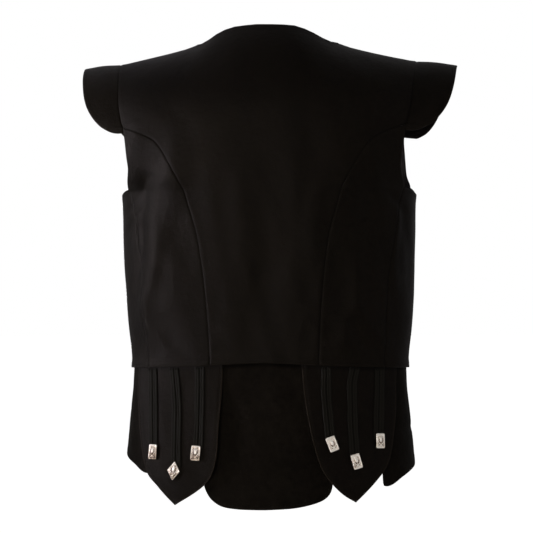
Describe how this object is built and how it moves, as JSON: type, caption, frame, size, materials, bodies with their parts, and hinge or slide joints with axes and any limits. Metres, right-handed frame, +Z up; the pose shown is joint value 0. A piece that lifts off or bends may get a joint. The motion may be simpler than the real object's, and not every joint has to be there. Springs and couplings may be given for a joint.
{
  "type": "jacobean waistcoat",
  "caption": "Black wool Highland-style waistcoat in its worn, hollow form, with shoulder wings, skirts, shield-shaped tashes, ribbed braids and silver buttons.",
  "frame": {"origin": "where the wearer holds the garment up: midway between the two neck points, on the shoulder line", "axes": "+Z up along the back, -Y out of the front, +X to the wearer's left"},
  "size_m": [0.4974, 0.2602, 0.6209],
  "materials": {
    "barathea": "matt black barathea wool with a faint sheen",
    "tash": "the same black barathea, pressed flat",
    "braid": "black ribbed braid, a little glossier than the cloth",
    "silver": "silver plated, cast in relief, darkened in the hollows"
  },
  "bodies": {
    "root": {"back_centre": "barathea", "back_side_left": "barathea", "back_side_right": "barathea", "front_left": "barathea", "front_right": "barathea", "wing_left": "barathea", "wing_right": "barathea", "skirt_back": "barathea", "skirt_side_left": "barathea", "skirt_side_right": "barathea", "tash_left": "tash", "tash_right": "tash", "braid_left_inner": "braid", "braid_left_middle": "braid", "braid_left_outer": "braid", "braid_right_inner": "braid", "braid_right_middle": "braid", "braid_right_outer": "braid", "button_left_inner": "silver", "button_left_middle": "silver", "button_left_outer": "silver", "button_right_inner": "silver", "button_right_middle": "silver", "button_right_outer": "silver", "button_front_1": "silver", "button_front_2": "silver", "button_front_3": "silver", "button_front_4": "silver", "button_front_5": "silver"}
  },
  "joints": []
}
